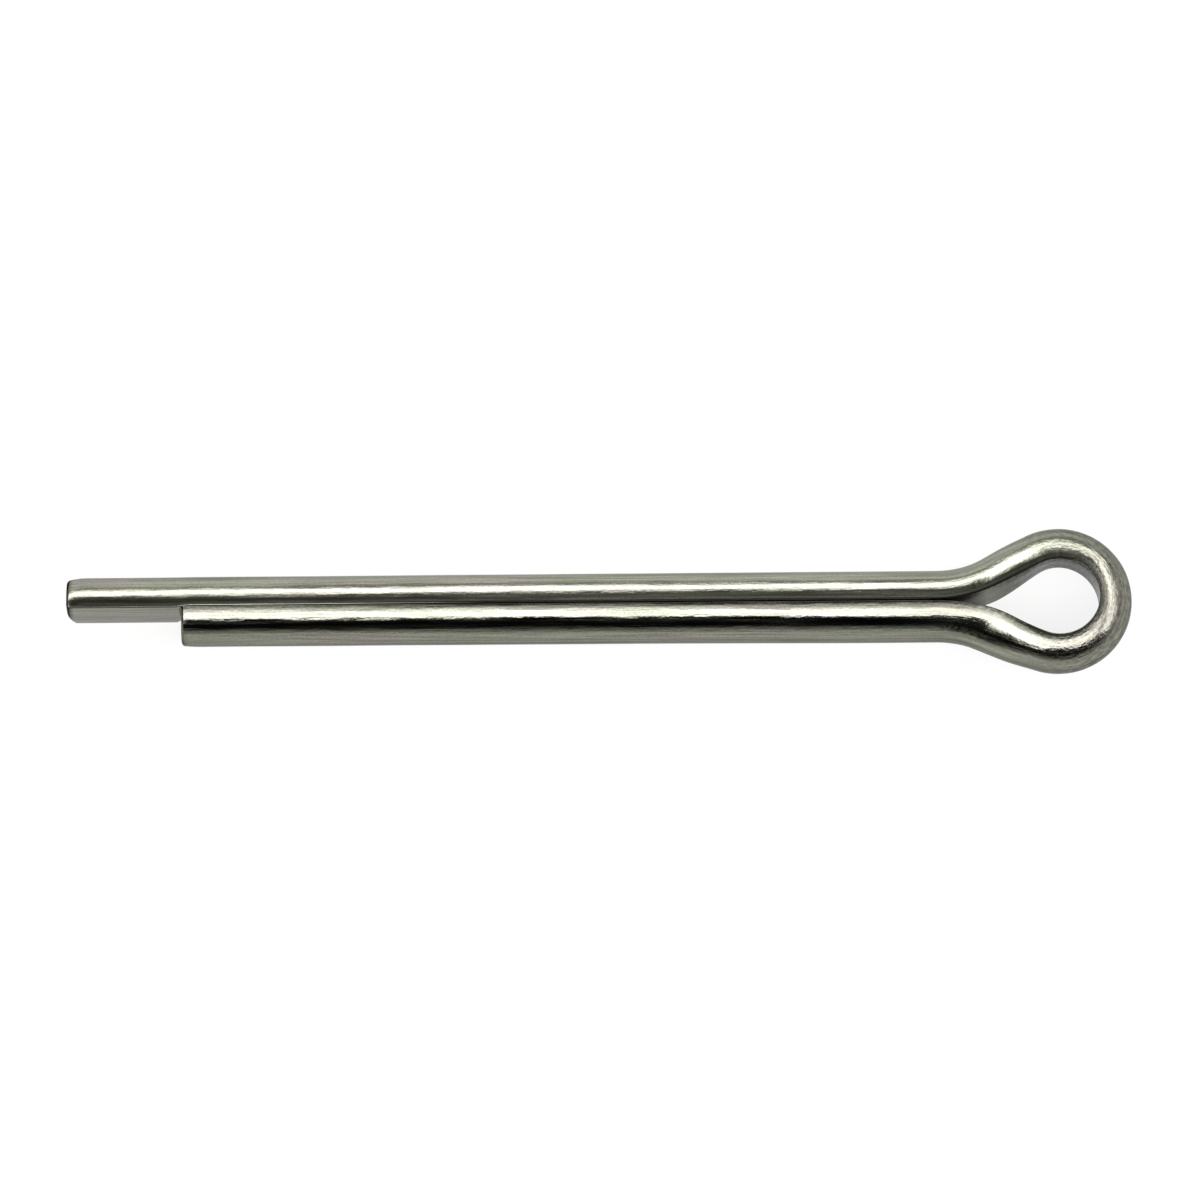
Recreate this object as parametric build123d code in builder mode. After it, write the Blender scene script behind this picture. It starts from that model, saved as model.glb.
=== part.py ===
"""Split cotter pin: one length of half-round wire, folded flat to flat into an eye and two unequal legs.

The pin lies on its side. X runs along the shank towards the eye, Y across the two legs towards the
longer one, and Z up. The origin is on the shank's axis, at the neck where the legs begin to part.
"""

import os
from math import cos, radians, sin

from build123d import *

# Wire, in millimetres
shank_diameter = 2.9  # across the round that the two closed legs make
leg_gap = 0.06  # between the two flats along the shank
wire_edge_radius = 0.06  # where the flat of the wire meets its round

# Legs, measured from the neck
short_leg_length = 31.0
long_leg_extension = 4.7  # how far the long tip stands past the short one
tip_rounding = 0.2  # of the edges of the sheared ends

# Eye, measured to the flat of the wire, which is its inner face
eye_inner_radius = 1.6
neck_radius = 5.5  # of the bend that leads each leg out to the eye
long_flank_angle = 28.0  # slope of the straight flank from the long leg's neck to the round of the eye
short_flank_angle = 21.0  # the short leg's flank is flatter, so the eye leans towards the long leg

# Sizes that follow from these
shank_radius = shank_diameter / 2
half_gap = leg_gap / 2
long_leg_length = short_leg_length + long_leg_extension


def neck_to_centre_line(flank_angle):
    """Distance from the origin to the line through the eye's centre that runs beside one flank."""
    neck_rise = neck_radius * (1 - cos(radians(flank_angle)))
    return eye_inner_radius + neck_rise - half_gap * cos(radians(flank_angle))


# The eye's centre is where the two lines beside the flanks cross
long_turn, short_turn = radians(long_flank_angle), radians(short_flank_angle)
long_reach, short_reach = neck_to_centre_line(long_flank_angle), neck_to_centre_line(short_flank_angle)
eye_centre = (
    (long_reach * cos(short_turn) + short_reach * cos(long_turn)) / sin(long_turn + short_turn),
    (short_reach * sin(long_turn) - long_reach * sin(short_turn)) / sin(long_turn + short_turn),
)

# Line that the middle of the wire's flat follows, from the long tip round the eye to the short tip
with BuildLine() as wire_path:
    long_leg = Line((-long_leg_length, half_gap), (0, half_gap))
    long_neck = JernArc(long_leg @ 1, long_leg % 1, neck_radius, long_flank_angle)
    short_leg = Line((-short_leg_length, -half_gap), (0, -half_gap))
    short_neck = JernArc(short_leg @ 1, short_leg % 1, neck_radius, -short_flank_angle)
    eye_round = CenterArc(
        eye_centre, eye_inner_radius, 90 + long_flank_angle, -180 - long_flank_angle - short_flank_angle
    )
    Line(long_neck @ 1, eye_round @ 0)
    Line(eye_round @ 1, short_neck @ 1)

# Wire folded along that line, its flat turned inwards so that the closed legs make one round shank
with BuildPart() as cotter_pin:
    with BuildSketch(Plane(origin=long_leg @ 0, x_dir=(0, 1, 0), z_dir=long_leg % 0)) as wire_section:
        with Locations((-half_gap, 0)):
            Circle(shank_radius)
        Rectangle(shank_radius, shank_diameter, align=(Align.MIN, Align.CENTER), mode=Mode.INTERSECT)
        fillet(wire_section.vertices(), wire_edge_radius)
    sweep(path=wire_path.wire())
    tips = cotter_pin.faces().filter_by(Plane.YZ).sort_by(Axis.X)[0:2]
    fillet(tips.edges(), tip_rounding)
cotter_pin.part.label = "cotter_pin"

os.makedirs("parts", exist_ok=True)
export_step(cotter_pin.part, "parts/cotter_pin.step")

print("eye centre", [round(place, 3) for place in eye_centre])
print("size", cotter_pin.part.bounding_box().size, "volume", round(cotter_pin.part.volume, 2))
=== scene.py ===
# %% [markdown]
# # A split cotter pin in bright zinc
# A cotter pin is one length of half-round steel wire, folded flat to flat: a round eye at one end and two
# straight legs, one a little longer so that a blade can be pushed in to part them. It locks a nut or a
# clevis pin. The lesson loads the pin's solid as a fixed frame, sweeps a finer mesh of the same wire over
# it, plates it, and lights it as a small product on a white table. First the frame: everything that
# follows sits on the solid's own numbers, so it is loaded before anything is made.

# %% Load the solid
from math import asin, cos, pi, radians, sin, sqrt, tan

import bpy
import numpy as np
from mathutils import Matrix, Vector, noise
from mathutils.bvhtree import BVHTree


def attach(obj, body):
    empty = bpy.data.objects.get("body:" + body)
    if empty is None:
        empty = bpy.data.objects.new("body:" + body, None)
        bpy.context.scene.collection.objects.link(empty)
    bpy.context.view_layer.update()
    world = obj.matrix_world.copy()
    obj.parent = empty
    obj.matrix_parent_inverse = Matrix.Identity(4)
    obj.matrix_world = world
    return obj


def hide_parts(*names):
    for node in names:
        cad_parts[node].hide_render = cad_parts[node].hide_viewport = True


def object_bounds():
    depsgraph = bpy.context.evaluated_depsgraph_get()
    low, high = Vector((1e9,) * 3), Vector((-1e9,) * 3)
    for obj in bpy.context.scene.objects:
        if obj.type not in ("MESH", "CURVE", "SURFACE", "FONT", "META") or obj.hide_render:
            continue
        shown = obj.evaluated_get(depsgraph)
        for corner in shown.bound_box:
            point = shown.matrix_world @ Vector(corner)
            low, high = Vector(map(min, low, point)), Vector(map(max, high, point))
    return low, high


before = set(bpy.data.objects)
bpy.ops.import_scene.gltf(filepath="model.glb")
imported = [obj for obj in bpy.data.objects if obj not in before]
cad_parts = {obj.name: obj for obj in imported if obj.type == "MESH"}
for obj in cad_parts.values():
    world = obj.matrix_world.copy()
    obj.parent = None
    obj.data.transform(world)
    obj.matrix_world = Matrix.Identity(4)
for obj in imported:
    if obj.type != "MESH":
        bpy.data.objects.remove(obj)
cad_low, cad_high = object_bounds()
MM = 0.001
solid_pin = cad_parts["cotter_pin"]
print("solid pin, mm:", [round(side / MM, 2) for side in cad_high - cad_low])

# %% [markdown]
# ## The wire's sizes
# The mesh has to lie on the solid, so it starts from the same driving sizes: the round that the closed legs
# make, the gap between their flats, the eye and the bends that lead to it. Only the two roundings, of the
# wire's edges and of its tips, are finer than the solid's. The eye's centre is not typed in. It follows from
# the slopes of the two flanks: it is the crossing of two lines, each one eye radius inside a flank.

# %% Sizes of the wire, in millimetres
SHANK_RADIUS = 1.45
HALF_GAP = 0.03
WIRE_EDGE_RADIUS = 0.03
LONG_LEG = 35.7
SHORT_LEG = 31.0
TIP_ROUNDING = 0.14
EYE_INNER_RADIUS = 1.6
NECK_RADIUS = 5.5
LONG_FLANK_SLOPE = radians(28.0)
SHORT_FLANK_SLOPE = radians(21.0)


def neck_to_centre_line(slope):
    """Distance from the origin to the line through the eye's centre that runs beside one flank."""
    return EYE_INNER_RADIUS + NECK_RADIUS * (1 - cos(slope)) - HALF_GAP * cos(slope)


def flank_length(slope, centre_towards_leg):
    """Straight length from the neck bend to the round of the eye, on one leg's side."""
    return eye_x * cos(slope) + (centre_towards_leg - HALF_GAP - NECK_RADIUS) * sin(slope)


long_reach = neck_to_centre_line(LONG_FLANK_SLOPE)
short_reach = neck_to_centre_line(SHORT_FLANK_SLOPE)
between_flanks = sin(LONG_FLANK_SLOPE + SHORT_FLANK_SLOPE)
eye_x = (long_reach * cos(SHORT_FLANK_SLOPE) + short_reach * cos(LONG_FLANK_SLOPE)) / between_flanks
eye_y = (short_reach * sin(LONG_FLANK_SLOPE) - long_reach * sin(SHORT_FLANK_SLOPE)) / between_flanks
print("eye centre, mm:", round(eye_x, 3), round(eye_y, 3))

# %% [markdown]
# ## The line that the wire follows
# A Bezier curve with a bevel could stand in for a bent wire, but its section would be round and its bends
# only nearly circular. A real wire former makes straight runs and circular bends, so the line is kept as
# just that: a list of runs, each with a length and a turn per millimetre, walked from the long tip round
# the eye to the short tip. The wire's round always lies to the left of the walk, and its flat to the right.

# %% Runs and bends of the wire
WIRE_RUNS = (
    (LONG_LEG, 0.0),
    (NECK_RADIUS * LONG_FLANK_SLOPE, 1 / NECK_RADIUS),
    (flank_length(LONG_FLANK_SLOPE, eye_y), 0.0),
    (EYE_INNER_RADIUS * (pi + LONG_FLANK_SLOPE + SHORT_FLANK_SLOPE), -1 / EYE_INNER_RADIUS),
    (flank_length(SHORT_FLANK_SLOPE, -eye_y), 0.0),
    (NECK_RADIUS * SHORT_FLANK_SLOPE, 1 / NECK_RADIUS),
    (SHORT_LEG, 0.0),
)
wire_length = sum(length for length, turn in WIRE_RUNS)


def wire_at(along):
    """Place, heading and turn per millimetre of the flat's middle line, at distances from the long tip."""
    place = np.empty((len(along), 2))
    heading = np.empty(len(along))
    turning = np.empty(len(along))
    begin, start, facing = 0.0, np.array((-LONG_LEG, HALF_GAP)), 0.0
    for length, turn in WIRE_RUNS:
        here = along >= begin
        walked = np.append(along[here] - begin, length)
        faced = facing + turn * walked
        if turn:
            step = np.stack((np.sin(faced) - sin(facing), cos(facing) - np.cos(faced)), 1) / turn
        else:
            step = walked[:, None] * (cos(facing), sin(facing))
        place[here] = start + step[:-1]
        heading[here] = faced[:-1]
        turning[here] = turn
        begin, start, facing = begin + length, start + step[-1], faced[-1]
    return place, heading, turning


end_place = wire_at(np.array([wire_length]))[0][0]
print("wire, mm:", round(wire_length, 2), "ends at", end_place.round(3).tolist())

# %% [markdown]
# ## The half-round section
# The wire was drawn through a D-shaped die: a flat, a round, and a small radius where they meet. The outline
# is worked out, not traced, so that it can also be drawn a little smaller. The rounded rim of a sheared tip
# is the same outline, inset step by step.

# %% Outline of the wire
FLAT_STEPS = 14
EDGE_STEPS = 4
ROUND_STEPS = 64
SHARPEST_EDGE = 0.015


def wire_outline(inset):
    """Points and outward normals of the section: distance out from the flat, and height, in millimetres."""
    round_radius = SHANK_RADIUS - inset
    edge = max(WIRE_EDGE_RADIUS - inset, SHARPEST_EDGE)
    edge_out = inset + edge
    edge_height = sqrt((round_radius - edge) ** 2 - (edge_out + HALF_GAP) ** 2)
    meets_round = asin((edge_out + HALF_GAP) / (round_radius - edge))
    flat = np.linspace(-edge_height, edge_height, FLAT_STEPS, endpoint=False)
    upper = np.linspace(-pi / 2, meets_round, EDGE_STEPS, endpoint=False)
    arc = np.linspace(meets_round, pi - meets_round, ROUND_STEPS, endpoint=False)
    lower = np.linspace(pi - meets_round, 3 * pi / 2, EDGE_STEPS, endpoint=False)
    turned = np.concatenate((np.full(FLAT_STEPS, -pi / 2), upper, arc, lower))
    normals = np.stack((np.sin(turned), np.cos(turned)), 1)
    points = np.concatenate((
        np.stack((np.full(FLAT_STEPS, inset), flat), 1),
        (edge_out, edge_height) + edge * normals[FLAT_STEPS:FLAT_STEPS + EDGE_STEPS],
        (-HALF_GAP, 0) + round_radius * normals[FLAT_STEPS + EDGE_STEPS:-EDGE_STEPS],
        (edge_out, -edge_height) + edge * normals[-EDGE_STEPS:],
    ))
    return points, normals


around = len(wire_outline(0)[0])
print("outline points:", around, "flat, mm:", round(float(np.ptp(wire_outline(0)[0][:, 1])), 2), "high")

# %% [markdown]
# ## Stations along the wire
# The sweep needs a ring of points at each station. Straight legs need few, the tight eye needs many, and the
# rim of each tip needs a fan of small steps. The sheared end faces are rings too: the last outline, shrunk
# towards its middle, so that the whole wire is one grid of rings with a point at each end.

# %% Stations: distance along, inset and size of each ring
LEG_SPACING = 0.3
BEND_SPACING = 0.075
TIP_STEPS = 7
FACE_RINGS = 6
CLEAR_OF_TIP = TIP_ROUNDING * 2


def tip_stations():
    """Rings of a sheared end: out from the middle of its face, then over its rounded rim."""
    face = [(0.0, TIP_ROUNDING, (ring + 1) / FACE_RINGS) for ring in range(FACE_RINGS)]
    rim = np.linspace(0, pi / 2, TIP_STEPS + 1)[1:]
    return face + [(TIP_ROUNDING * (1 - cos(t)), TIP_ROUNDING * (1 - sin(t)), 1.0) for t in rim]


def body_stations():
    """Rings between the two tips, close together wherever the wire is bent or lies between two bends."""
    ends = np.cumsum([0.0] + [length for length, turn in WIRE_RUNS])
    spots = []
    for run, (length, turn) in enumerate(WIRE_RUNS):
        leg = run in (0, len(WIRE_RUNS) - 1)
        steps = max(1, round(length / (LEG_SPACING if leg else BEND_SPACING)))
        spots += list(ends[run] + length * np.arange(steps) / steps)
    return [(s, 0.0, 1.0) for s in spots if CLEAR_OF_TIP < s < wire_length - CLEAR_OF_TIP]


first_tip = tip_stations()
last_tip = [(wire_length - s, inset, size) for s, inset, size in reversed(tip_stations())]
stations = np.array(first_tip + body_stations() + last_tip)
print("rings:", len(stations), "points:", len(stations) * around)

# %% [markdown]
# ## Marks of its making
# A perfect sweep looks computed, and a bright metal shows it at once. Real wire is drawn, sheared and bent,
# so its marks are put on the rings before they are folded, as real displacements. Only the finer drawing
# lines are left to the finish. First comes how hard the wire is stretched: bending does it, on the outside
# of the eye most of all. The turn is averaged over a short length, because metal doesn't go from straight
# to bent at a line.

# %% Where the wire is stretched
STRETCH_BLUR = 1.0
BLUR_SAMPLES = 9
eye_middle = sum(length for length, turn in WIRE_RUNS[:3]) + WIRE_RUNS[3][0] / 2


def stretch_at(drawn):
    """How hard the surface was stretched by bending, from 0 to 1, at points of the straight wire."""
    shifts = np.linspace(-STRETCH_BLUR, STRETCH_BLUR, BLUR_SAMPLES)
    turning = np.mean([wire_at(np.clip(drawn[:, 0] + s, 0, wire_length))[2] for s in shifts], axis=0)
    outside = np.clip(0.5 + 0.5 * drawn[:, 1] / SHANK_RADIUS, 0, 1)
    return np.clip(np.abs(turning) * EYE_INNER_RADIUS, 0, 1) * outside


print("middle of the eye, mm along the wire:", round(eye_middle, 2))

# %% [markdown]
# A few small measures place every mark: smooth noise, a soft bell, a flatter one with steeper sides, the
# distance from the nearer tip, the angle up the round, and the distance from a mark's middle. Blender's own
# noise is used because it gives the same value at the same point on each run.

# %% Measures for placing a mark
def noise_at(points, size):
    """Smooth noise from 0 to 1 at points in millimetres, with features of the given size along each axis."""
    return np.array([noise.noise(Vector(p)) for p in points / size]) / 2 + 0.5


def bell(values, middle, half_width):
    """1 at the middle value, and falling softly away on both sides of it."""
    return np.exp(-((values - middle) / half_width) ** 2)


def plateau(values, middle, half_width):
    """Close to 1 around the middle value, and falling steeply at the half width."""
    return np.exp(-((values - middle) / half_width) ** 4)


def tip_distance(along):
    """Distance along the wire from the nearer tip."""
    return np.minimum(along, wire_length - along)


def round_angle(out, height):
    """Angle up from the middle of the round, seen from the middle of the closed legs."""
    return np.arctan2(height, np.maximum(out, 0) + HALF_GAP)


def mark_reach(drawn, along, angle, half_length, half_width):
    """How far points of the straight wire are from a mark's middle, where 1 is the mark's edge."""
    centre = (along, SHANK_RADIUS * cos(angle), SHANK_RADIUS * sin(angle))
    return np.linalg.norm((drawn - centre) / (half_length, half_width, half_width), axis=1)


print("a bell and a plateau at their half width:", bell(1, 0, 1).round(2), plateau(1, 0, 1).round(2))

# %% [markdown]
# The die leaves a slow waviness along the legs. Bending pulls the outside of the eye into small lumps. The
# shear pulls the round side of each tip over and leaves two long, shallow facets beside the long one. The
# forming jaws scuff both necks. All of these go in towards the middle, so one function adds up their depths.

# %% Marks pressed into the wire
WAVE_DEPTH = 0.02
WAVE_SIZE = np.array((5.0, 1.1, 1.1))
LUMP_DEPTH = 0.012
LUMP_SIZE = 0.42
LONG_TIP_PULL, SHORT_TIP_PULL = 0.12, 0.05
TIP_PULL_LENGTH = 0.8
FACETS = (
    # angle up from the middle of the round, half width and depth
    (radians(86), radians(9), 0.025),
    (radians(42), radians(13), 0.035),
)
FACET_LENGTH = 6.0
SCUFF_GRAIN = 0.2
JAW_SCUFFS = (
    # distance along, angle up from the middle of the round, half length, half width and depth
    (LONG_LEG + 1.9, radians(77), 0.5, 0.16, 0.012),
    (wire_length - SHORT_LEG - 2.3, radians(50), 1.6, 0.30, 0.009),
)


def pressed_in(drawn, normals):
    """How deep each point of the straight wire is pushed in towards the middle, in millimetres."""
    along, out, height = drawn.T
    depth = WAVE_DEPTH * noise_at(drawn, WAVE_SIZE)
    depth += LUMP_DEPTH * stretch_at(drawn) * noise_at(drawn, LUMP_SIZE)
    on_flat = np.clip(-normals[:, 0], 0, 1)
    on_round = np.clip(normals[:, 0], 0, 1)
    pull = np.where(along < eye_middle, LONG_TIP_PULL, SHORT_TIP_PULL)
    depth += pull * np.clip(1 - tip_distance(along) / TIP_PULL_LENGTH, 0, 1) ** 2 * on_round
    for angle, half_width, facet_depth in FACETS:
        across = bell(round_angle(out, height), angle, half_width) * (1 - on_flat)
        depth += facet_depth * across * np.exp(-along / FACET_LENGTH)
    for *scuff, scuff_depth in JAW_SCUFFS:
        depth += scuff_depth * bell(mark_reach(drawn, *scuff), 0, 1) * noise_at(drawn, SCUFF_GRAIN)
    return depth


print("marks pressed in: waves, lumps, pulled tips,", len(FACETS), "facets and", len(JAW_SCUFFS), "scuffs")

# %% [markdown]
# The flats are not quite flat. On the closed legs they bulge towards each other, most along their middle
# line, until the legs touch where the solid keeps a gap. In the middle of the eye the wire is drawn thinner:
# the flat moves towards the round, and the points behind it move less and less, so that no layer of the mesh
# passes through another.

# %% Flats that bulge, and a thinner eye
FLAT_SWELL = 0.018
FLAT_CROWN = 0.032
CROWN_POWER = 4
FLAT_SWELL_FADE = 0.6
THINNING = 0.07
THINNED_LENGTH = 1.3
THINNED_DEPTH = 0.7


def swollen(drawn, normals):
    """How far the flats of the legs bulge towards each other, most along their middle line."""
    along, out, height = drawn.T
    into_leg = np.maximum(LONG_LEG - along, along - wire_length + SHORT_LEG)
    on_leg = np.clip(into_leg / FLAT_SWELL_FADE, 0, 1)
    crown = 1 - np.clip(np.abs(height) / SHANK_RADIUS, 0, 1) ** CROWN_POWER
    return (FLAT_SWELL + FLAT_CROWN * crown) * np.clip(-normals[:, 0], 0, 1) * on_leg


def thinned(drawn):
    """How far the flat is drawn in towards the round in the middle of the eye, less and less behind it."""
    behind_flat = np.clip(1 - drawn[:, 1] / THINNED_DEPTH, 0, 1)
    return THINNING * bell(drawn[:, 0], eye_middle, THINNED_LENGTH) * behind_flat


print("flats bulge up to", FLAT_SWELL + FLAT_CROWN, "mm, the eye is drawn", THINNING, "mm thinner")

# %% [markdown]
# A shear cuts part of the way through and tears the rest. It dragged the lower edge of the long tip back
# along the wire, and it tore both end faces, most near the flat. These marks run along the wire, and
# not into it.

# %% Dragged and torn tips
LONG_TIP_DRAG = 0.3
TIP_DRAG_LENGTH = 1.0
TIP_DRAG_HEIGHT = 0.1
TEAR_DEPTH = 0.05
TEAR_GRAIN = np.array((1.0, 0.16, 0.16))
TEAR_NEAR_FLAT = 0.6


def dragged_back(drawn):
    """How far the shear dragged the lower edge of the long tip back along the wire."""
    low = np.clip((TIP_DRAG_HEIGHT - drawn[:, 2]) / (TIP_DRAG_HEIGHT + SHANK_RADIUS), 0, 1)
    near_tip = np.clip(1 - drawn[:, 0] / TIP_DRAG_LENGTH, 0, 1)
    return LONG_TIP_DRAG * low ** 2 * near_tip ** 2


def torn_back(drawn, size):
    """How far each point of an end face is torn back from the cut, most near the flat."""
    near_flat = np.clip(1 - drawn[:, 1] / SHANK_RADIUS, 0, 1)
    grain = noise_at(drawn, TEAR_GRAIN)
    return TEAR_DEPTH * sqrt(1 - size) * (near_flat * TEAR_NEAR_FLAT + grain * (1 - TEAR_NEAR_FLAT))


print("the long tip is dragged back by", LONG_TIP_DRAG, "mm and torn by up to", TEAR_DEPTH, "mm")

# %% [markdown]
# ## Rings
# Each ring is first laid on the straight wire, where the marks are easy to place. Its points carry three
# numbers: the distance along the wire, out from the flat, and the height. They are kept for the finish, so
# that drawing lines run along the wire and round the eye, as they do on drawn and bent stock.

# %% Rings on the straight wire
def ring_points(station):
    """Straight coordinates of one ring: distance along, out from the flat, and height."""
    along, inset, size = station
    outline, normals = wire_outline(inset)
    middle = np.array((outline[:, 0].mean(), 0.0))
    section = middle + (outline - middle) * size
    drawn = np.column_stack((np.full(around, along), section))
    pressed = drawn.copy()
    inwards = (middle - section) / np.linalg.norm(middle - section, axis=1)[:, None]
    pressed[:, 1:] += inwards * (pressed_in(drawn, normals) * size)[:, None]
    pressed[:, 1] += (thinned(drawn) - swollen(drawn, normals)) * size
    pressed[:, 0] += dragged_back(drawn)
    if size < 1:
        into_wire = 1 if along < eye_middle else -1
        pressed[:, 0] += into_wire * torn_back(drawn, size)
    return pressed


drawn_wire = np.concatenate([ring_points(station) for station in stations])
drawn_wire = np.vstack((drawn_wire, drawn_wire[:around].mean(0), drawn_wire[-around:].mean(0)))
along, out, height = drawn_wire.T
on_long_half = along < eye_middle
print("points on the straight wire:", len(drawn_wire))

# %% [markdown]
# ## Not quite in line
# Pins are folded fast, and the wire doesn't lie exactly on its line afterwards. Near the necks, round the
# eye and at the free end of the long leg it is rolled about itself, and in places its upper half leans. Each
# of these is a bell along the wire with its own place, reach and size. A lattice could bend the mesh in the
# same way, but a list of places is easier to read and to change.

# %% Rolls and leans
FREE_END = LONG_LEG - SHORT_LEG + 0.3
FREE_END_FADE = 0.5
END_ROLL = radians(-2.4)
ROLLS = (
    # distance along, half length, and turn, which is negative where the flat faces up more
    (LONG_LEG + 2.5, 1.5, radians(-3.5)),
    (eye_middle - 2.4, 1.6, radians(3.0)),
)
LEANS = (
    # distance along, half length, and how much the upper half rises towards the outside
    (8.0, 9.0, -0.05),
    (eye_middle - 2.4, 1.8, -0.07),
    (eye_middle + 2.6, 1.3, 0.09),
    (wire_length - SHORT_LEG - 2.6, 1.05, -0.18),
    (wire_length - 14.0, 16.0, -0.03),
    (wire_length - 2.0, 6.0, -0.03),
)

free = np.clip((FREE_END - along) / FREE_END_FADE, 0, 1)
roll = END_ROLL * free
for spot, half_length, turn in ROLLS:
    roll += turn * bell(along, spot, half_length)
rolled_out = out * np.cos(roll) - height * np.sin(roll)
rolled_height = out * np.sin(roll) + height * np.cos(roll)
upper = np.clip(height / SHANK_RADIUS, 0, 1)
for spot, half_length, lean in LEANS:
    rolled_height += lean * out * upper * bell(along, spot, half_length)
print("rolled by up to", round(float(np.degrees(np.abs(roll).max())), 1), "degrees")

# %% [markdown]
# The wire also lies a little to one side of its line in places, and the jaws squeezed it fuller on the round
# side of both necks. A swell may reach farther on one side of its place than on the other. At the free end
# the shift and the swell cancel on the round side, so that only the flat moves.

# %% Shifts and swells
END_SHIFT = -0.11
SHIFTS = (
    # distance along, half length, and how far the wire lies out of line, which is negative towards its flat
    (LONG_LEG + 2.8, 1.4, -0.07),
    (wire_length - SHORT_LEG - 2.5, 1.15, -0.16),
)
SWELLS = (
    # distance along, how far it reaches towards the long tip and towards the short tip, and its size
    (LONG_LEG + 3.3, 1.7, 1.2, 0.115),
    (wire_length - SHORT_LEG - 2.5, 1.15, 1.15, 0.16),
    (wire_length - SHORT_LEG - 3.4, 1.1, 1.6, 0.10),
    (wire_length - SHORT_LEG - 0.5, 1.5, 10.5, 0.07),
)

shift = END_SHIFT * free
for spot, half_length, size in SHIFTS:
    shift += size * bell(along, spot, half_length)
swell = -END_SHIFT * free
for spot, reach_before, reach_after, size in SWELLS:
    swell += size * bell(along, spot, np.where(along < spot, reach_before, reach_after))
moved_out = rolled_out + shift + swell * np.clip(out / SHANK_RADIUS, 0, 1)
print("moved sideways by up to", round(float(np.abs(moved_out - out).max()), 2), "mm")

# %% [markdown]
# ## Folding
# Now every point is carried to its station on the folded line. A point that would leave the solid's box is
# held at its side, and on the closed legs each flat stops just short of the plane between them. So the legs
# all but touch, and never pass through each other.

# %% The folded wire
TOUCHING_GAP = 0.001

place, heading = wire_at(np.clip(along, 0, wire_length))[:2]
outward = np.stack((-np.sin(heading), np.cos(heading)), 1)
folded_wire = np.column_stack((place + outward * moved_out[:, None], rolled_height))
folded_wire = np.clip(folded_wire, np.array(cad_low) / MM, np.array(cad_high) / MM)
side = np.where(on_long_half, 1, -1)
legs_meet = (place[:, 0] > -SHORT_LEG) & (place[:, 0] < 0)
apart = side * np.maximum(side * folded_wire[:, 1], TOUCHING_GAP)
folded_wire[:, 1] = np.where(legs_meet, apart, folded_wire[:, 1])
print("folded wire, mm:", folded_wire.min(0).round(3).tolist(), folded_wire.max(0).round(3).tolist())

# %% [markdown]
# ## Painted shade
# Painted shade darkens the wire where shade falls or a reflection is dark, and paints out a bright edge
# line:
# in the split, on the rims of the tips, and along the upper edge of the long leg. It could be painted by
# hand on an image, but here it follows from the wire's own coordinates: each kind is a number from 0 to 1 at
# every point, and later the darkest of them counts.

# %% Painted shade in the split, on the rims and along the edge
# Painted shade: how dark and how wide the wire is painted in the split, on the tips' rims and along the
# upper edge.
SPLIT_SHADE = 0.85
SPLIT_SHADE_FADE = 12.0
SPLIT_OPENING = 0.5
LONG_SPLIT_SHADE_WIDTH, SHORT_SPLIT_SHADE_WIDTH = 0.09, 0.19
RIM_SHADE_PLACE = 0.06
RIM_SHADE_WIDTH = 0.09
LONG_RIM_SHADE, SHORT_RIM_SHADE = 0.85, 0.35
EDGE_SHADE_FADE = 2.0
FREE_EDGE_SHADE = 0.7

# Painted shade in the split: both flats are darkened where the legs close and shade falls between them,
# fading towards the short tip.
closed = np.clip(1 - (np.abs(place[:, 1]) - HALF_GAP) / SPLIT_OPENING, 0, 1)
closed *= np.clip((place[:, 0] + SHORT_LEG) / SPLIT_SHADE_FADE, 0, 1)
split_width = np.where(on_long_half, LONG_SPLIT_SHADE_WIDTH, SHORT_SPLIT_SHADE_WIDTH)
painted_split_shade = closed * (SPLIT_SHADE * np.clip(1 - out / split_width, 0, 1))

# Painted dark reflection: the rounded rims of the tips are darkened, most on the long tip.
not_on_face = np.append(np.repeat(stations[:, 2] == 1, around), (False, False))
rim_shade = not_on_face * np.where(on_long_half, LONG_RIM_SHADE, SHORT_RIM_SHADE)
painted_rim_reflection = rim_shade * bell(tip_distance(along), RIM_SHADE_PLACE, RIM_SHADE_WIDTH)

# Painted shade along the upper edge of the long leg: it hides the bright line that the rounded edge
# reflects, and at the free end it deepens the dark band.
ring_place = np.append(np.tile(np.arange(around), len(stations)), (0, 0))
upper_edge = (ring_place >= FLAT_STEPS) & (ring_place <= FLAT_STEPS + EDGE_STEPS)
from_ends = np.minimum((along - FREE_END) / SPLIT_SHADE_FADE, (eye_middle - along) / EDGE_SHADE_FADE)
painted_edge_shade = upper_edge * np.maximum(FREE_EDGE_SHADE * free, np.clip(from_ends, 0, 1))
print("points with dirt in the split:", int((painted_split_shade > 0).sum()), "on the edge:", int((painted_edge_shade > 0).sum()))

# %% [markdown]
# Painted shade also darkens the flat inside the eye, which reflects the card in the eye's shadow, more of it
# near the top and in specks, and the inner edge of the lower flank. A painted dark streak runs along the
# long leg from its tip. The jaws and the shear left specks of dark scuffing, which also deepen the dark
# bands at the lower neck and the long tip as painted shade.

# %% Painted shade in the eye, a painted dark streak and dark scuffs
# Dark scuffs: real specks from the jaws and the shear, placed where they also deepen the dark bands at the
# lower neck and the long tip as painted shade.
SCUFFS_AND_PAINTED_SHADE = (
    # distance along, angle up from the middle of the round, half length and half width
    (wire_length - SHORT_LEG - 1.6, radians(50), 1.9, 0.30),
    (LONG_LEG + 1.85, radians(77), 0.5, 0.16),
    (0.15, radians(84), 0.5, 0.2),
)
SPECK_SIZE = 0.14
SPECK_CONTRAST, SPECK_OFFSET = 3.2, 0.9
EYE_SPECKS = (0.65, 1.1)
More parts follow.
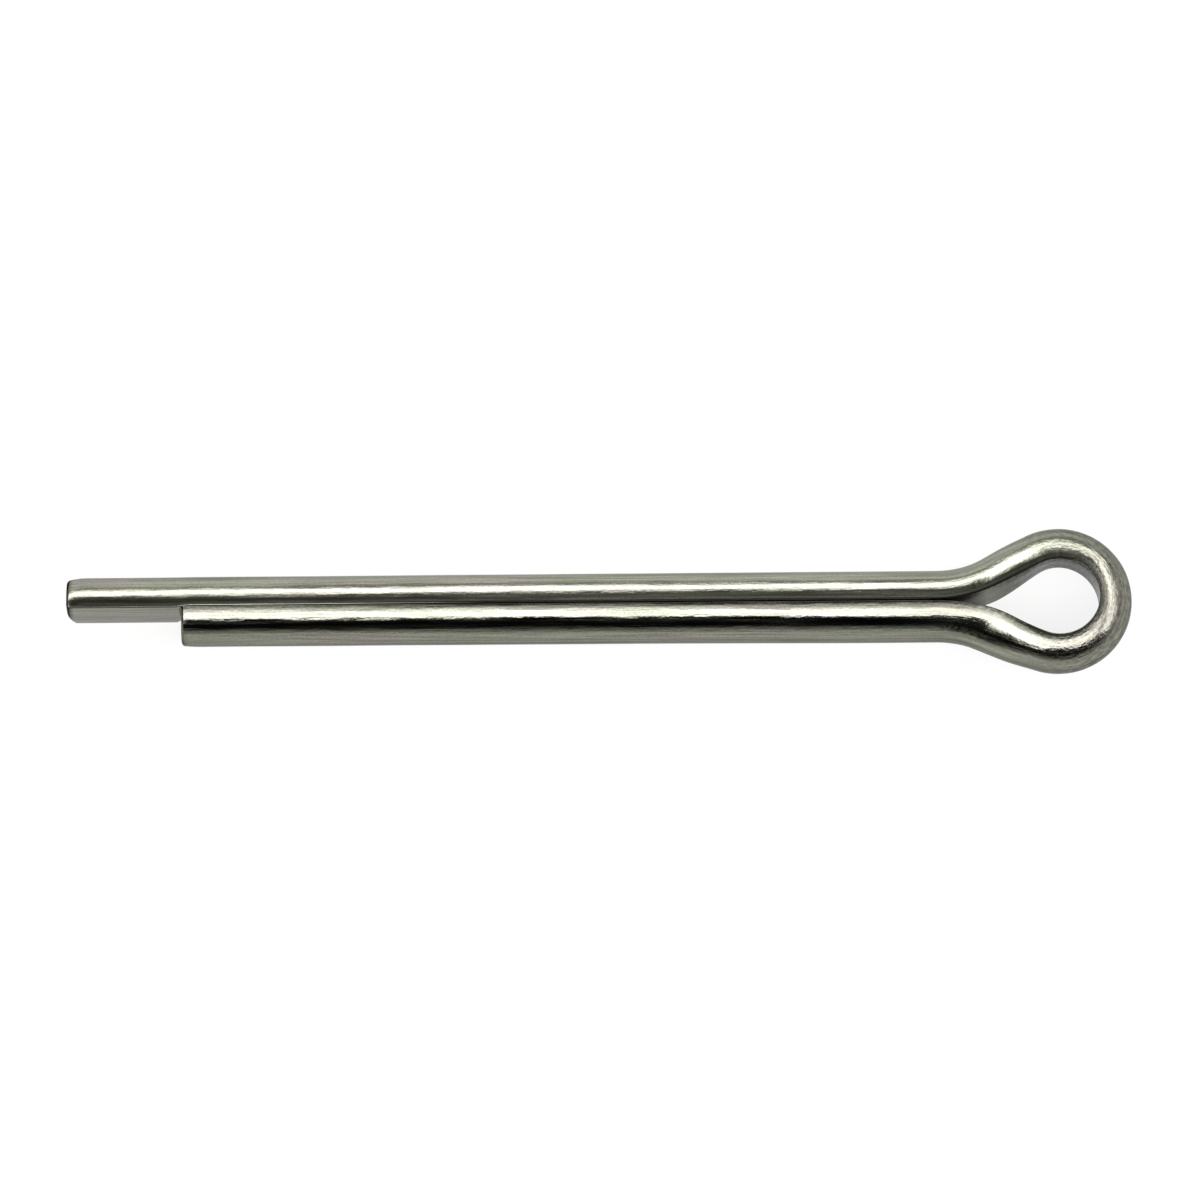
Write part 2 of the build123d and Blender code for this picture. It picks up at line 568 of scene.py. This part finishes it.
# Painted shade inside the eye: the flat, which reflects the card in the eye's shadow, and the inner edge of
# the lower flank.
EYE_PAINTED_SHADE = (
    # distance along, half length, width out from the flat, and strength at half height and at the top
    (eye_middle - 2.0, 3.5, 0.4, 0.45, 0.8),
    (wire_length - SHORT_LEG - 2.6, 1.7, 0.42, 0.35, 0.9),
)
# A painted dark streak high on the long leg's round, which deepens its dark reflection band from the tip.
PAINTED_DARK_STREAKS = (
    # distance along, half length, angle up from the middle of the round, half width and strength
    (5.0, 12.0, radians(80), radians(5), 0.75),
)
STREAK_EDGE = 0.08

specks = np.clip(noise_at(drawn_wire, SPECK_SIZE) * SPECK_CONTRAST - SPECK_OFFSET, 0, 1)
eye_specks = np.interp(specks, (0, 1), EYE_SPECKS)
kinds = [painted_split_shade, painted_rim_reflection, painted_edge_shade]
for spot, half_length, width, low, high in EYE_PAINTED_SHADE:
    near_flat = np.interp(height, (0, SHANK_RADIUS), (low, high)) * np.clip(1 - out / width, 0, 1)
    kinds.append(near_flat * eye_specks * plateau(along, spot, half_length))
for spot, half_length, angle, half_width, strength in PAINTED_DARK_STREAKS:
    across = np.clip(out / STREAK_EDGE, 0, 1) * bell(round_angle(out, height), angle, half_width)
    kinds.append(strength * across * plateau(along, spot, half_length))
for scuff in SCUFFS_AND_PAINTED_SHADE:
    kinds.append(plateau(mark_reach(drawn_wire, *scuff), 0, 1) * specks)
# Painted shade and the dark scuffs, as one number at every point.
painted_shade_and_scuffs = np.max(kinds, axis=0)
print("kinds of dirt:", len(kinds), "darkest:", round(float(painted_shade_and_scuffs.max()), 2))

# %% [markdown]
# ## The mesh
# The rings become one closed mesh: quads between neighbouring rings and a fan of triangles at each end, all
# wound so that they face outwards. It is shaded smooth, apart from the lines where flat, edge and round
# meet. Three attributes go with its points: the straight coordinates, how hard the surface was stretched,
# and the painted shade with the dark scuffs. Where the outside of the eye was bent round, the plating is
# pulled into a fine orange peel, and the finish needs to know where that is.

# %% Faces of the wire
ring_count = len(stations)
first_point, last_point = len(drawn_wire) - 2, len(drawn_wire) - 1
corner = np.arange(ring_count * around).reshape(ring_count, around)
beside = np.roll(corner, -1, axis=1)
quads = np.stack((corner[:-1], corner[1:], beside[1:], beside[:-1]), -1).reshape(-1, 4).tolist()
fans = [(first_point, a, b) for a, b in zip(corner[0].tolist(), beside[0].tolist())]
fans += [(last_point, b, a) for a, b in zip(corner[-1].tolist(), beside[-1].tolist())]
print("quads:", len(quads), "triangles:", len(fans))

# %% Mesh of the wire
wire_mesh = bpy.data.meshes.new("cotter_pin_wire")
wire_mesh.from_pydata((folded_wire * MM).tolist(), [], quads + fans)
wire_mesh.polygons.foreach_set("use_smooth", np.ones(len(wire_mesh.polygons), bool))
edge_points = np.empty(len(wire_mesh.edges) * 2, np.int32)
wire_mesh.edges.foreach_get("vertices", edge_points)
one_end, other_end = edge_points.reshape(-1, 2).T
creases = (0, FLAT_STEPS, FLAT_STEPS + EDGE_STEPS, around - EDGE_STEPS)
lengthwise = (one_end % around == other_end % around) & np.isin(one_end % around, creases)
wire_mesh.attributes.new("sharp_edge", "BOOLEAN", "EDGE").data.foreach_set("value", lengthwise)
stretched = stretch_at(drawn_wire)
for name, kind, field, values in (
        ("drawn_wire", "FLOAT_VECTOR", "vector", drawn_wire),
        ("stretched", "FLOAT", "value", stretched),
        ("painted_shade_and_scuffs", "FLOAT", "value", painted_shade_and_scuffs)):
    numbers = values.astype(np.float32).ravel()
    wire_mesh.attributes.new(name, kind, "POINT").data.foreach_set(field, numbers)

pin = bpy.data.objects.new("cotter_pin_wire", wire_mesh)
bpy.context.scene.collection.objects.link(pin)
print("faces:", len(wire_mesh.polygons), "stretched most:", round(float(stretched.max()), 2))

# %% [markdown]
# The new wire has to lie on the solid. The farthest any of its points is from the solid's surface is
# measured here: it should be no more than the deepest mark, which is the drag of the long tip.

# %% Distance from the solid
solid_tree = BVHTree.FromPolygons(
    [v.co for v in solid_pin.data.vertices], [p.vertices for p in solid_pin.data.polygons])
off_solid = [solid_tree.find_nearest(v.co)[3] / MM for v in wire_mesh.vertices]
print("off the solid, mm: mean", round(float(np.mean(off_solid)), 4), "most", round(max(off_solid), 3))

# %% [markdown]
# ## The finish: bright zinc plate on drawn steel wire
# The pin is low-carbon steel wire, drawn through a die, folded, then electroplated with bright zinc. To the
# eye that is a clear grey mirror with a faint warm tint, long drawing lines that run with the wire, and a
# frosted orange peel where the outside of the eye was stretched. It is a metal, so its colour is in its
# reflections: metallic is 1, the IOR keeps its default, and colour, specular tint, roughness and bump vary.

# %% Helpers for materials
def linear(hex_colour, alpha=1.0):
    """A colour written as sRGB hex, as the linear values that Blender's sockets hold."""
    parts = [int(hex_colour[i:i + 2], 16) / 255 for i in (1, 3, 5)]
    return [p / 12.92 if p <= 0.04045 else ((p + 0.055) / 1.055) ** 2.4 for p in parts] + [alpha]


def add_node(tree, kind, inputs=(), **settings):
    """Adds a node, sets its properties, and fills its sockets with values or links from other sockets."""
    made = tree.nodes.new(kind)
    for name, value in settings.items():
        setattr(made, name, value)
    for name, value in dict(inputs).items():
        if isinstance(value, bpy.types.NodeSocket):
            tree.links.new(value, made.inputs[name])
        else:
            made.inputs[name].default_value = value
    return made


print("white is", [round(v, 3) for v in linear("#FFFFFF")])

# %% [markdown]
# All patterns of the plate are noise on the straight wire's coordinates. A noise texture changes about once
# per unit, so the coordinates are divided by a real length along the wire and a real width across it, both
# in millimetres. Fine drawing lines are long and narrow, and the peel and the grain are as long as wide.

# %% Patterns of the plate
PLATE_PATTERNS = {
    # length along the wire, width across it, and the noise's detail and roughness. Real drawing lines are a
    # few hundredths of a millimetre wide, and are drawn this coarse to show
    "lines": (4.0, 0.13, 3.0, 0.6),
    "ripples": (0.9, 0.24, 2.0, 0.5),
    "peel": (0.13, 0.13, 2.0, 0.5),
    "patches": (5.0, 1.6, 2.0, 0.5),
    "grain": (0.11, 0.11, 2.0, 0.5),
}

zinc = bpy.data.materials.new("bright_zinc_plate_on_drawn_wire")
zinc.use_nodes = True
tree = zinc.node_tree
tree.nodes.clear()
straight = add_node(tree, "ShaderNodeAttribute", attribute_name="drawn_wire").outputs["Vector"]
stretch = add_node(tree, "ShaderNodeAttribute", attribute_name="stretched").outputs["Fac"]
# The painted shade and the scuffs, read from the mesh.
shade_and_scuff_mask = add_node(tree, "ShaderNodeAttribute", attribute_name="painted_shade_and_scuffs").outputs["Fac"]
pattern = {}
for name, (length, width, detail, roughness) in PLATE_PATTERNS.items():
    space = add_node(tree, "ShaderNodeVectorMath", {
        0: straight, 1: (1 / length, 1 / width, 1 / width)}, operation="MULTIPLY")
    pattern[name] = add_node(tree, "ShaderNodeTexNoise", {
        "Vector": space.outputs[0], "Scale": 1.0, "Detail": detail, "Roughness": roughness}).outputs["Fac"]
print("patterns of the plate:", ", ".join(pattern))

# %% [markdown]
# A noise value lies near one half most of the time. So each pattern's middle span is spread over the
# values that are wanted from it: how rough a drawing line or the peel is, and how much lighter or darker a
# streak, the grain or the peel makes the plate.

# %% Gloss and shade from the patterns
PATTERN_RANGES = {
    # pattern, the span of it that is used, and the values at the low and the high end of that span
    "line_gloss": ("lines", (0.3, 0.7), (0.07, 0.16)),
    "peel_gloss": ("peel", (0.3, 0.7), (0.04, 0.14)),
    "streak_shade": ("lines", (0.36, 0.64), (0.76, 1.22)),
    "grain_shade": ("grain", (0.36, 0.64), (0.91, 1.07)),
    "peel_shade": ("peel", (0.36, 0.64), (-0.48, -0.06)),
}

ranged = {}
for name, (source, (low, high), (at_low, at_high)) in PATTERN_RANGES.items():
    ranged[name] = add_node(tree, "ShaderNodeMapRange", {
        "Value": pattern[source], "From Min": low, "From Max": high,
        "To Min": at_low, "To Max": at_high}).outputs[0]
print("ranges:", ", ".join(ranged))

# %% [markdown]
# The plate's grey wanders a little between a greener and a warmer tint. It is multiplied by the streaks, the
# grain and the peel, and by a slow change from the long leg to the short one, which is darker. That change
# is
# painted shade: the near, short leg is darkened and the far, long leg lightened, in place of the pin's
# shadow on the card in front, which the near leg reflects. The painted shade and the scuffs then cover it
# with a dark brown.

# %% Colour of the plate
# Painted shade: the far, long leg is lightened and the near, short leg darkened, for the pin's shadow in
# front.
LONG_LEG_PAINTED_SHADE, SHORT_LEG_PAINTED_SHADE = 1.2, 0.82
LONG_SHADE_END = LONG_LEG + 2.0
SHORT_SHADE_BEGIN = wire_length - SHORT_LEG - 1.0
TINTS = ((0.38, "#8A8D7F"), (0.62, "#8F8C83"))

tint = add_node(tree, "ShaderNodeValToRGB", {"Fac": pattern["patches"]})
for stop, (position, colour) in zip(tint.color_ramp.elements, TINTS):
    stop.position = position
    stop.color = linear(colour)
plate_shade = add_node(tree, "ShaderNodeMath", {
    0: ranged["streak_shade"], 1: ranged["grain_shade"]}, operation="MULTIPLY")
stretch_shade = add_node(tree, "ShaderNodeMath", {
    0: ranged["peel_shade"], 1: stretch, 2: 1.0}, operation="MULTIPLY_ADD")
bend_shade = add_node(tree, "ShaderNodeMath", {
    0: plate_shade.outputs[0], 1: stretch_shade.outputs[0]}, operation="MULTIPLY")
along_wire = add_node(tree, "ShaderNodeSeparateXYZ", {0: straight}).outputs["X"]
# Painted shade along the wire, from the lighter long leg to the darker short one.
painted_leg_shade = add_node(tree, "ShaderNodeMapRange", {
    "Value": along_wire, "From Min": LONG_SHADE_END, "From Max": SHORT_SHADE_BEGIN,
    "To Min": LONG_LEG_PAINTED_SHADE, "To Max": SHORT_LEG_PAINTED_SHADE})
shade = add_node(tree, "ShaderNodeMath", {
    0: bend_shade.outputs[0], 1: painted_leg_shade.outputs[0]}, operation="MULTIPLY")
streaked = add_node(tree, "ShaderNodeMix", {
    "Factor": 1.0, 6: tint.outputs["Color"], 7: shade.outputs[0]}, data_type="RGBA", blend_type="MULTIPLY")
# Painted shade and the dark scuffs, mixed over the plate's colour as a dark brown.
plate_with_painted_shade = add_node(tree, "ShaderNodeMix", {
    "Factor": shade_and_scuff_mask, 6: streaked.outputs[2], 7: linear("#1E1A16")}, data_type="RGBA")
print("the long leg is", round(LONG_LEG_PAINTED_SHADE / SHORT_LEG_PAINTED_SHADE, 2), "times as light as the short one")

# %% [markdown]
# Drawing lines, ripples, grain and peel are all too small for the mesh, so they are bumps, one on top of the
# other, each with its own depth in millimetres. The peel is there only where the wire is stretched.

# %% Relief of the plate
RELIEF_DEPTHS = {"lines": 0.005, "ripples": 0.008, "grain": 0.003, "stretched_peel": 0.015}

stretched_peel = add_node(tree, "ShaderNodeMath", {0: pattern["peel"], 1: stretch}, operation="MULTIPLY")
pattern["stretched_peel"] = stretched_peel.outputs[0]
below = {}
for name, depth in RELIEF_DEPTHS.items():
    relief = add_node(tree, "ShaderNodeBump", {"Height": pattern[name], "Distance": depth * MM, **below})
    below = {"Normal": relief.outputs[0]}
print("relief:", RELIEF_DEPTHS)

# %% [markdown]
# The shader puts these together. Where the painted shade and the scuffs lie, the plate is rougher, and the
# bright rim that a metal has where it is seen at a low angle, which the shader's specular tint sets, is
# dimmed as painted shade.

# %% Bright zinc plate
SHADE_AND_SCUFF_DULLING = 0.1

plate_gloss = add_node(tree, "ShaderNodeMath", {
    0: ranged["peel_gloss"], 1: stretch, 2: ranged["line_gloss"]}, operation="MULTIPLY_ADD")
gloss = add_node(tree, "ShaderNodeMath", {
    0: shade_and_scuff_mask, 1: SHADE_AND_SCUFF_DULLING, 2: plate_gloss.outputs[0]}, operation="MULTIPLY_ADD")
# Painted shade: where the mask lies, a darker specular tint dims the reflection seen at a low angle.
sheen = add_node(tree, "ShaderNodeMix", {
    "Factor": shade_and_scuff_mask, 6: linear("#C2C2C2"), 7: linear("#616161")}, data_type="RGBA")
plate = add_node(tree, "ShaderNodeBsdfPrincipled", {
    "Base Color": plate_with_painted_shade.outputs[2], "Metallic": 1.0, "Specular Tint": sheen.outputs[2],
    "Roughness": gloss.outputs[0], "Normal": relief.outputs[0]})
add_node(tree, "ShaderNodeOutputMaterial", {"Surface": plate.outputs[0]})
wire_mesh.materials.append(zinc)
print("finish:", zinc.name, "nodes:", len(tree.nodes))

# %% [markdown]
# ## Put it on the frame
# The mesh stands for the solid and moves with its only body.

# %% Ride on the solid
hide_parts("cotter_pin")
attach(pin, "root")
print("pin rides on root and stands for cotter_pin")

# %% [markdown]
# ## The table
# The pin lies on matt white card. Card scatters light evenly, so it needs no gloss, only a colour just short
# of white. It also lights the pin from below. To the camera, in the pin's reflections and through glass it
# is mixed with plain white, so that it looks white without more light on the pin. What is left of the lit
# card keeps the pin's soft shadow.

# %% White card
CARD_RADIUS = 1.5
CARD_SIDES = 96

card_mesh = bpy.data.meshes.new("white_card")
rim_turns = np.linspace(0, 2 * pi, CARD_SIDES, endpoint=False)
rim = [(CARD_RADIUS * cos(t), CARD_RADIUS * sin(t), cad_low.z) for t in rim_turns]
card_mesh.from_pydata(rim, [], [list(range(len(rim)))])
card = bpy.data.objects.new("white_card", card_mesh)
bpy.context.scene.collection.objects.link(card)
print("card at z, mm:", round(cad_low.z / MM, 3))

# %% Matt white of the card
CARD_LIFT = 0.85

matt_white = bpy.data.materials.new("matt_white_card")
matt_white.use_nodes = True
tree = matt_white.node_tree
tree.nodes.clear()
diffuse = add_node(tree, "ShaderNodeBsdfDiffuse", {"Color": linear("#F7F7F5")})
white = add_node(tree, "ShaderNodeEmission", {"Color": linear("#FFFFFF"), "Strength": 1.0})
rays = add_node(tree, "ShaderNodeLightPath").outputs
seen = add_node(tree, "ShaderNodeMath", {
    0: rays["Is Camera Ray"], 1: rays["Is Glossy Ray"]}, operation="MAXIMUM")
seen = add_node(tree, "ShaderNodeMath", {
    0: seen.outputs[0], 1: rays["Is Transmission Ray"]}, operation="MAXIMUM")
lift = add_node(tree, "ShaderNodeMath", {0: seen.outputs[0], 1: CARD_LIFT}, operation="MULTIPLY")
surface = add_node(tree, "ShaderNodeMixShader", {
    "Fac": lift.outputs[0], 1: diffuse.outputs[0], 2: white.outputs[0]})
add_node(tree, "ShaderNodeOutputMaterial", {"Surface": surface.outputs[0]})
matt_white.cycles.emission_sampling = "NONE"
card_mesh.materials.append(matt_white)
print("card finish:", matt_white.name)

# %% [markdown]
# ## Light
# A mirror-like rod is drawn by what it reflects. On the pin the bands tell where the lights stood: a white
# line high on the far leg is a long softbox behind, a broad white band on the near leg is one overhead, and
# the line carried round the eye is one to the right. Black between them is the unlit room. So each softbox
# is placed by the angles at which the pin sees it, and most share one brightness. A real softbox fades
# towards its edges, so each has a ramp of brightness from its lower edge to its upper one.

# %% How a softbox is made
SOFTBOX_DISTANCE = 0.8
SOFTBOX_BRIGHTNESS = 4.5


def softbox(name, azimuth, elevation, tall, wide, ramp, brightness=SOFTBOX_BRIGHTNESS):
    """A lamp placed and sized by angles in degrees. Azimuth 0 is the camera's side and 90 the eye's."""
    a, e = radians(azimuth), radians(elevation)
    towards = Vector((sin(a) * cos(e), -cos(a) * cos(e), sin(e)))
    lamp = bpy.data.lights.new(name, "AREA")
    lamp.shape = "RECTANGLE"
    lamp.size = 2 * SOFTBOX_DISTANCE * tan(radians(wide / 2))
    lamp.size_y = 2 * SOFTBOX_DISTANCE * tan(radians(tall / 2))
    lamp.energy = brightness * pi * lamp.size * lamp.size_y
    lamp.use_nodes = True
    tree = lamp.node_tree
    tree.nodes.clear()
    across = add_node(tree, "ShaderNodeNewGeometry").outputs["Parametric"]
    height = add_node(tree, "ShaderNodeSeparateXYZ", {0: across}).outputs["Y"]
    fade = add_node(tree, "ShaderNodeValToRGB", {"Fac": height})
    stops = fade.color_ramp.elements
    for place, level in ramp[1:-1]:
        stops.new(place)
    for stop, (place, level) in zip(stops, ramp):
        stop.position = place
        stop.color = (level, level, level, 1)
    glow = add_node(tree, "ShaderNodeEmission", {"Color": fade.outputs["Color"], "Strength": 1.0})
    add_node(tree, "ShaderNodeOutputLight", {"Surface": glow.outputs[0]})
    made = bpy.data.objects.new(name, lamp)
    made.matrix_world = (
        Matrix.Translation(towards * SOFTBOX_DISTANCE)
        @ (-towards).to_track_quat("-Z", "Y").to_matrix().to_4x4())
    made.visible_camera = False
    bpy.context.scene.collection.objects.link(made)
    print(name, "m:", round(lamp.size, 2), "x", round(lamp.size_y, 2))


print("softboxes stand", SOFTBOX_DISTANCE, "m away")

# %% [markdown]
# Besides the three main softboxes, a small one on each side draws the light on the flanks that lead to the
# eye, a weak one fills the eye, and a dim strip under the ceiling greys the dark band of the far leg.

# %% Softboxes
SOFT = ((0.0, 0.1), (0.3, 1.0), (0.7, 1.0), (1.0, 0.1))
softbox("back_softbox", azimuth=180, elevation=28, tall=30, wide=86,
        ramp=((0.0, 0.15), (0.22, 0.6), (0.38, 1.0), (0.62, 1.0), (0.82, 0.4), (1.0, 0.05)))
softbox("overhead_softbox", azimuth=0, elevation=71, tall=38, wide=72,
        ramp=((0.0, 0.0), (0.04, 1.0), (0.50, 1.0), (0.62, 0.5), (0.88, 0.3), (1.0, 0.05)), brightness=5.6)
softbox("flank_softbox", azimuth=214, elevation=36, tall=32, wide=28, ramp=SOFT)
softbox("near_flank_softbox", azimuth=330, elevation=46, tall=16, wide=15, ramp=SOFT)
softbox("eye_side_softbox", azimuth=100, elevation=31, tall=40, wide=64,
        ramp=((0.0, 0.05), (0.3, 0.3), (0.48, 1.0), (0.8, 1.0), (1.0, 0.1)))
softbox("eye_fill_softbox", azimuth=105, elevation=62, tall=26, wide=40, ramp=SOFT, brightness=1.0)
softbox("ceiling_strip", azimuth=180, elevation=68, tall=6, wide=86, ramp=SOFT, brightness=0.2)

# %% [markdown]
# The rest of the room is dark in front and has a dim glow at the back. All round it is a pale horizon, where
# the table runs off. A sky made of nodes does that with one surface: the height and the depth of a direction
# choose its brightness.

# %% Dim room
HORIZON_TOP = sin(radians(22.5))
GLOW_BEGINS, GLOW_FULL = -0.1, 0.25

room = bpy.data.worlds.new("dim_room")
bpy.context.scene.world = room
room.use_nodes = True
tree = room.node_tree
tree.nodes.clear()
direction = add_node(tree, "ShaderNodeTexCoord").outputs["Generated"]
facing = add_node(tree, "ShaderNodeSeparateXYZ", {0: direction}).outputs
to_back = add_node(tree, "ShaderNodeMapRange", {
    "Value": facing["Y"], "From Min": GLOW_BEGINS, "From Max": GLOW_FULL, "To Min": 0.0, "To Max": 1.0},
    interpolation_type="SMOOTHSTEP").outputs[0]
to_horizon = add_node(tree, "ShaderNodeMapRange", {
    "Value": facing["Z"], "From Min": 0.0, "From Max": HORIZON_TOP, "To Min": 1.0, "To Max": 0.0},
    interpolation_type="SMOOTHSTEP").outputs[0]
walls = add_node(tree, "ShaderNodeMix", {
    "Factor": to_back, 6: linear("#0B0B0B"), 7: linear("#777773")}, data_type="RGBA")
sky = add_node(tree, "ShaderNodeMix", {
    "Factor": to_horizon, 6: walls.outputs[2], 7: linear("#D8D8D4")}, data_type="RGBA")
light = add_node(tree, "ShaderNodeBackground", {"Color": sky.outputs[2], "Strength": 1.0})
add_node(tree, "ShaderNodeOutputWorld", {"Surface": light.outputs[0]})
print("room lit, horizon up to sine", round(HORIZON_TOP, 3))

# %% [markdown]
# ## Camera
# The picture looks steeply down through a long lens, so that parallel legs stay parallel. Its scale, the
# neck's place in the frame, the tilt and a small roll were read from the picture. From them the camera is
# worked out, not nudged: the point under the middle of the frame, a step back from it, and the lens for that
# width.

# %% Camera
FRAME_PIXELS = 1200
PIXELS_PER_MM = 24.36
NECK_PIXEL = (936.7, 606.0)
TILT = radians(10.9)
ROLL = 0.0082
CAMERA_DISTANCE = 700.0
FARTHEST_SEEN = 10.0

right_of_neck = (FRAME_PIXELS / 2 - NECK_PIXEL[0]) / PIXELS_PER_MM
above_neck = (NECK_PIXEL[1] - FRAME_PIXELS / 2) / PIXELS_PER_MM
aim_x = right_of_neck * cos(ROLL) + above_neck * sin(ROLL)
aim_y = (above_neck * cos(ROLL) - right_of_neck * sin(ROLL)) / cos(TILT)
aim = Vector((aim_x, aim_y, 0)) * MM
back = Vector((0, -sin(TILT), cos(TILT)))
along_pin = Vector((1, 0, 0))
up_frame = back.cross(along_pin)
camera_right = along_pin * cos(ROLL) - up_frame * sin(ROLL)
camera_up = along_pin * sin(ROLL) + up_frame * cos(ROLL)

lens = bpy.data.cameras.new("long_lens")
lens.sensor_width = 36.0
lens.lens = lens.sensor_width * CAMERA_DISTANCE / (FRAME_PIXELS / PIXELS_PER_MM)
lens.clip_end = FARTHEST_SEEN
camera = bpy.data.objects.new("camera", lens)
camera.matrix_world = (
    Matrix.Translation(aim + back * CAMERA_DISTANCE * MM)
    @ Matrix((camera_right, camera_up, back)).transposed().to_4x4())
bpy.context.scene.collection.objects.link(camera)
bpy.context.scene.camera = camera
bpy.context.scene.view_settings.view_transform = "Standard"
print("lens, mm:", round(lens.lens, 1), "aim, mm:", [round(v / MM, 2) for v in aim])
